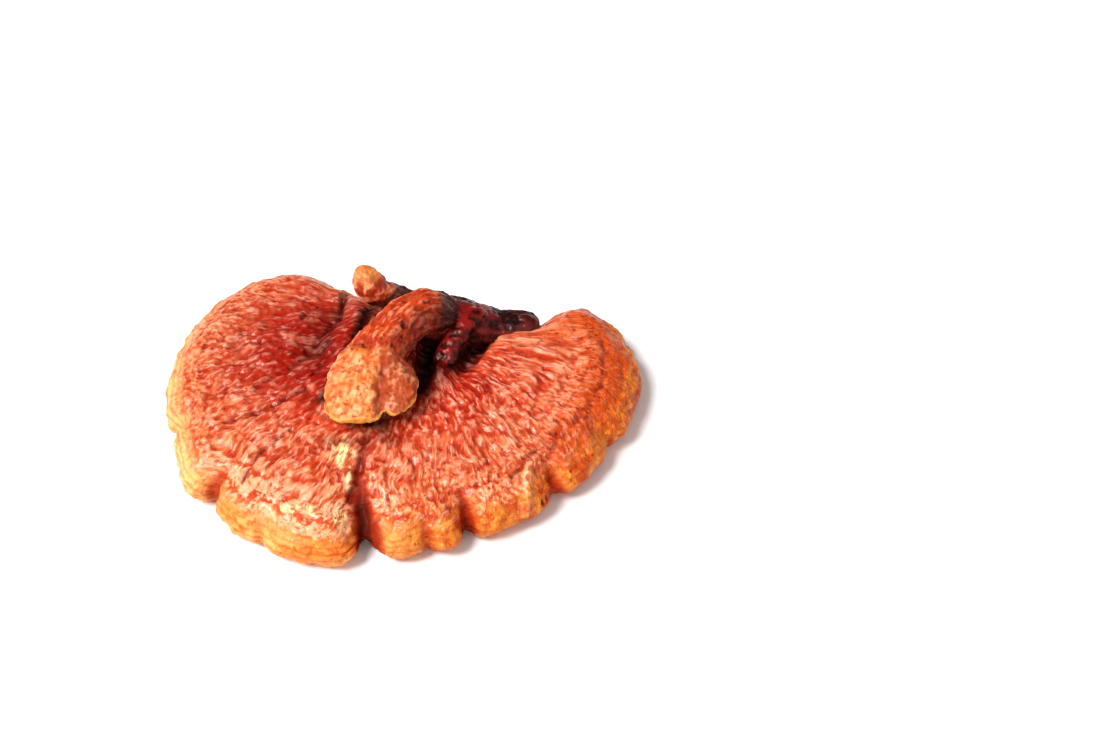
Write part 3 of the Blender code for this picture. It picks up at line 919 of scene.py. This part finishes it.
def cap_material():
    skin = Skin("cap_lacquer", roughness=0.42, coat=0.45, coat_roughness=0.20, specular=0.12)
    growth, margin = skin.value("growth"), skin.value("margin")
    ridge, ring, terrace = skin.value("ridge"), skin.value("ring"), skin.value("terrace")
    cleft, dark, pores = skin.value("cleft"), skin.value("dark"), skin.value("pores")
    x, y = skin.value("plan_x"), skin.value("plan_y")
    blotch = skin.noise(16, 3)
    patch = skin.noise(6, 4)
    mottle = skin.noise(2.6, 4, 0.6)
    speck = skin.noise(1.6, 4)
    grit = skin.noise(0.7, 4, 0.65)
    streak = skin.fan(1.45, 2.2)
    thread = skin.fan(0.8, 1.3, seed=30.0)

    # From dark red at the centre of growth to orange at the margin.
    zone = skin.sums("ADD", growth, skin.swing(blotch, 0.16))
    zone = skin.sums("ADD", zone, skin.swing(streak, 0.24))
    body = skin.ramp(
        zone,
        (0.00, (60, 6, 6)),
        (0.22, (126, 14, 10)),
        (0.36, (178, 44, 24)),
        (0.52, (199, 80, 46)),
        (0.70, (217, 117, 77)),
        (0.84, (226, 132, 85)),
        (1.00, (234, 134, 68)),
    )
    # Deeper red over the inner left, and orange-brown towards the right margin.
    deep = skin.times(skin.span(x, 2, -22), skin.span(y, -16, 14), skin.span(growth, 0.98, 0.5))
    right = skin.times(skin.span(x, 36, 60), skin.span(margin, 24, 8))
    behind = skin.times(skin.span(x, 28, 42), skin.span(y, 18, 32), skin.span(margin, 14, 5))
    right = skin.sums("MAXIMUM", right, behind)
    body = skin.stained_and_shaded(body, ((150, 18, 8), 0.9, deep), ((204, 86, 22), 0.85, right))
    valley_shade = skin.mix(skin.span(growth, 0.42, 0.75), (138, 13, 3), (164, 40, 4))
    body = skin.layered(
        body,
        # Furrows between the rings.
        ((180, 38, 10), 0.45, ring, 0.8, 0.25),
        # Cloudy patches, deeper and paler.
        ((172, 32, 12), 0.45, patch, 0.50, 0.62),
        ((242, 158, 122), 0.40, patch, 0.47, 0.36),
        # Painted shade in the valleys of the wrinkles, streaks and fine threads, and painted highlights on
        # their ridges.
        (valley_shade, 0.68, ridge, 0.6, 0.0),
        (valley_shade, 0.50, streak, 0.50, 0.36),
        ((250, 192, 168), 0.28, ridge, 0.72, 1.0),
        ((252, 204, 184), 0.34, streak, 0.52, 0.67),
        ((128, 18, 4), 0.28, thread, 0.44, 0.32),
    )
    body = skin.stained_and_shaded(body, ((192, 78, 20), 0.70, right), ((136, 14, 8), 0.35, deep))

    # The rim, still growing: orange and cream bands, browner towards the right.
    rim = skin.span(skin.sums("ADD", margin, skin.swing(streak, 9.0)), 6.5, 2.0)
    not_behind = skin.sums("MAXIMUM", skin.span(y, 46, 20, 0.35, 1.0), skin.span(x, 25, 45, 0.0, 0.9))
    rim = skin.times(rim, not_behind)
    band = skin.sums("SINE", skin.sums("MULTIPLY_ADD", skin.value("rim_run"), 2.4, skin.times(patch, 4.0)))
    brown = skin.mix(skin.span(patch, 0.42, 0.60), (216, 122, 38), (184, 70, 16))
    cream = skin.mix(skin.span(terrace, 0.25, 0.85), (186, 74, 18), (230, 134, 58))
    cream = skin.layered(
        cream,
        ((244, 180, 108), 0.65, blotch, 0.44, 0.58),
        ((246, 190, 130), 0.70, x, -46, -62),
        ((192, 78, 22), 0.40, band, 0.0, 1.0),
        ((200, 84, 26), 0.50, patch, 0.54, 0.66),
        (brown, 0.85, x, -14, 16),
        ((164, 58, 14), 0.42, mottle, 0.50, 0.66),
        ((246, 186, 104), 0.40, mottle, 0.46, 0.36),
    )
    back = skin.times(skin.span(y, 44, 54), skin.span(margin, 5.0, 1.0))

    # A paler zone behind the rim at the front left, streaked with red between its rings.
    pale = skin.times(skin.value("front"), skin.span(margin, 2, 6))
    banded = skin.sums("ADD", ring, skin.swing(streak, 3.6))
    light = skin.times(pale, skin.span(banded, 0.35, 1.0))
    red = skin.times(pale, skin.span(banded, 0.5, 0.0))
    # Dark spots along the inner side of the right margin, and scuffed pale places.
    spots = skin.times(skin.span(mottle, 0.56, 0.66), skin.span(margin, 22, 14), skin.span(margin, 5, 10))
    spots = skin.times(spots, skin.span(x, 25, 45))
    scuffed = skin.times(skin.value("scuff"), skin.span(streak, 0.44, 0.54, 0.15, 1.0))
    body = skin.stained_and_shaded(
        body,
        (cream, 0.92, rim),
        ((192, 122, 88), 0.75, back),
        ((246, 190, 150), 0.54, light),
        ((204, 78, 44), 0.62, red),
        ((110, 20, 6), 0.75, spots),
        ((250, 218, 160), 0.90, scuffed),
    )
    # Painted shade in the clefts, creases, furrow and pits; the root's dark lacquer, with painted shade and
    # shadow round it; and fine specks.
    body = skin.layered(
        body,
        ((150, 34, 9), 0.90, cleft, 0.10, 0.70),
        ((58, 10, 4), 0.85, cleft, 0.60, 1.00),
        ((108, 18, 6), 0.82, skin.value("crease"), 0.05, 0.80),
        ((34, 4, 5), 1.00, dark, 0.0, 0.90),
        ((110, 18, 6), 0.50, speck, 0.58, 0.70),
    )
    # The pore surface.
    under = skin.mix(skin.span(blotch, 0.35, 0.65), (218, 188, 142), (196, 154, 104))
    under = skin.layered(
        under,
        ((176, 130, 84), 0.35, patch, 0.35, 0.7),
        ((170, 122, 76), 0.30, ring, 0.8, 0.2),
        ((120, 76, 42), 0.60, skin.cells(0.32), 0.25, 0.05),
    )
    body = skin.mix(pores, body, under)

    # The lacquer shines most on ridges, and hardly at all in clefts, at the root, on the rim and below.
    rough = skin.span(ridge, 0.2, 0.9, 0.44, 0.28)
    rough = skin.sums("MULTIPLY_ADD", pores, 0.35, rough)
    rough = skin.sums("MULTIPLY_ADD", cleft, 0.30, rough)
    coat = skin.times(
        skin.span(pores, 0.0, 0.5, 0.45, 0.0),
        skin.span(cleft, 0.1, 0.7, 1.0, 0.1),
        skin.span(margin, 2, 10, 0.2, 1.0),
        skin.span(dark, 0.0, 0.4, 1.0, 0.2),
    )
    skin.link(coat, skin.shader.inputs["Coat Weight"])
    return skin.finish(body, rough, [(0.60, streak), (0.20, thread), (0.12, grit)])


def stem_material():
    skin = Skin("stem_lacquer", roughness=0.38, coat=0.18, coat_roughness=0.28, specular=0.3)
    ridge, cut = skin.value("ridge"), skin.value("cut")
    blotch = skin.noise(7, 4)
    body = skin.mix(skin.span(blotch, 0.4, 0.62), (44, 11, 13), (92, 24, 26))
    # Lighter on the flutes' ridges, and painted shade in the valleys between them, on the rib too.
    body = skin.layered(body, ((116, 34, 30), 0.4, ridge, 0.7, 1.0), ((14, 5, 5), 0.8, ridge, 0.4, 0.0))
    red = skin.mix(skin.span(ridge, 0.2, 0.9), (60, 6, 6), (136, 22, 18))
    body = skin.stained_and_shaded(body, (red, 0.9, skin.value("rib")))
    body = skin.layered(body, ((150, 84, 34), 0.5, skin.noise(1.8, 3), 0.66, 0.74))
    cork = skin.mix(skin.noise(0.7, 4), (74, 36, 20), (128, 78, 46))
    body = skin.mix(cut, body, cork)
    rough = skin.sums("MULTIPLY_ADD", cut, 0.4, skin.span(blotch, 0.3, 0.7, 0.26, 0.42))
    return skin.finish(body, rough, [(0.2, skin.noise(0.8, 4))])


def shoot_material():
    skin = Skin("side_shoot_skin", roughness=0.45, coat=0.15, coat_roughness=0.3, specular=0.35)
    ridge = skin.value("ridge")
    blotch = skin.noise(6, 4)
    body = skin.mix(skin.span(blotch, 0.4, 0.62), (160, 44, 14), (204, 80, 34))
    pale = skin.mix(skin.span(blotch, 0.40, 0.6), (222, 124, 62), (238, 160, 108))
    # Painted shade over the knob's right lobe, which faces away from the key lamp.
    pale = skin.stained_and_shaded(pale, ((150, 48, 14), 0.8, skin.value("ear")))
    body = skin.mix(skin.value("knob"), body, pale)
    # Painted shade in the valleys between the folds and pebbles and painted highlights on them, then darker
    # mottles.
    body = skin.layered(
        body,
        ((168, 58, 20), 0.55, ridge, 0.45, 0.0),
        ((246, 186, 146), 0.35, ridge, 0.6, 1.0),
        ((158, 52, 18), 0.50, skin.noise(2.2, 4), 0.50, 0.66),
        ((130, 40, 14), 0.50, skin.noise(1.1, 3), 0.54, 0.66),
    )
    # Painted shade in the knob's groove, in the holes and down the finger's right side; then the root darkening
    # into the stem's colour, and the yellow lips.
    body = skin.stained_and_shaded(
        body,
        ((120, 34, 12), 0.60, skin.value("groove")),
        ((58, 16, 6), 0.80, skin.value("holes")),
        ((106, 24, 9), 0.72, skin.value("lee")),
        ((44, 9, 8), 0.92, skin.value("root")),
        ((240, 178, 86), 0.85, skin.value("lip")),
    )
    rough = skin.span(ridge, 0.2, 0.9, 0.58, 0.40)
    return skin.finish(body, rough, [(0.2, skin.noise(0.8, 5, 0.65))])


def bud_material():
    skin = Skin("bud_skin", roughness=0.42, coat=0.2, coat_roughness=0.3, specular=0.35)
    ridge = skin.value("ridge")
    body = skin.mix(skin.span(skin.noise(4, 4), 0.4, 0.62), (178, 62, 28), (220, 122, 80))
    # Painted shade in the valleys between the pebbles, and painted highlights on them.
    body = skin.layered(
        body,
        ((140, 40, 14), 0.70, ridge, 0.5, 0.0),
        ((246, 184, 144), 0.45, ridge, 0.75, 1.0),
        ((140, 40, 14), 0.55, skin.noise(1.2, 3), 0.54, 0.66),
    )
    # A yellowish tip, and painted shade at the neck where the bud meets the stem.
    body = skin.stained_and_shaded(
        body,
        ((214, 146, 78), 0.50, skin.value("tip")),
        ((48, 10, 8), 0.92, skin.value("neck")),
    )
    rough = skin.span(ridge, 0.2, 0.9, 0.55, 0.38)
    return skin.finish(body, rough, [(0.2, skin.noise(0.7, 5, 0.65))])


# The scene ------------------------------------------------


CAMERA_AIM = Vector((0.04336, 0.01099, 0.0147))
CAMERA_DISTANCE = 0.765
CAMERA_TILT = math.radians(45)
FOCAL_LENGTH = 85
SENSOR_WIDTH = 36
CLIP_START = 0.01
# Towards the lamp from the mushroom, strength, and how wide the lamp looks.
KEY = ((-0.55, -0.25, 0.80), 4.2, math.radians(32))
FILL = ((0.45, -0.75, 0.60), 1.1, math.radians(100))
WORLD_STRENGTH = 0.16
FLOOR_REACH = 3000.0
WHITE = (1, 1, 1, 1)


def put_camera():
    camera = in_scene("camera", bpy.data.cameras.new("camera"))
    bpy.context.scene.camera = camera
    camera.data.lens = FOCAL_LENGTH
    camera.data.sensor_width = SENSOR_WIDTH
    camera.data.clip_start = CLIP_START
    back = Vector((0.0, -math.cos(CAMERA_TILT), math.sin(CAMERA_TILT)))
    camera.location = CAMERA_AIM + back * CAMERA_DISTANCE
    camera.rotation_euler = (-back).to_track_quat("-Z", "Y").to_euler()


def put_sun(name, towards, strength, spread):
    """A wide soft lamp."""
    lamp = in_scene(name, bpy.data.lights.new(name, "SUN"))
    lamp.rotation_euler = Vector(towards).to_track_quat("Z", "Y").to_euler()
    lamp.data.energy = strength
    lamp.data.angle = spread


def put_world():
    """Weak light from all round, and a white backdrop above the floor's edge."""
    world = bpy.data.worlds.new("studio")
    bpy.context.scene.world = world
    world.use_nodes = True
    tree = world.node_tree
    light = tree.nodes["Background"]
    light.inputs["Color"].default_value = WHITE
    light.inputs["Strength"].default_value = WORLD_STRENGTH
    backdrop = tree.nodes.new("ShaderNodeBackground")
    backdrop.inputs["Color"].default_value = WHITE
    seen = tree.nodes.new("ShaderNodeLightPath").outputs["Is Camera Ray"]
    either = tree.nodes.new("ShaderNodeMixShader")
    tree.links.new(seen, either.inputs[0])
    tree.links.new(light.outputs[0], either.inputs[1])
    tree.links.new(backdrop.outputs[0], either.inputs[2])
    tree.links.new(either.outputs[0], tree.nodes["World Output"].inputs["Surface"])


def put_floor():
    corners = [(x * FLOOR_REACH, y * FLOOR_REACH, 0) for x, y in ((-1, -1), (1, -1), (1, 1), (-1, 1))]
    floor = mesh_object("floor", corners, [(0, 1, 2, 3)])
    paper = Skin("floor_paper", roughness=0.9, specular=0.1)
    tone = paper.mix(paper.noise(60, 2), (244, 244, 244), (248, 248, 248))
    floor.data.materials.append(paper.finish(tone))


for node, build, material in (
    ("cap", build_cap, cap_material),
    ("stem", build_stem, stem_material),
    ("side_shoot", build_side_shoot, shoot_material),
    ("bud", build_bud, bud_material),
):
    piece = build()
    piece.data.materials.clear()
    piece.data.materials.append(material())
    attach(piece, "root")
    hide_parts(node)

put_floor()
put_camera()
put_world()
put_sun("key", *KEY)
put_sun("fill", *FILL)
bpy.context.scene.view_settings.view_transform = "Standard"
bpy.context.scene.view_settings.look = "Medium High Contrast"
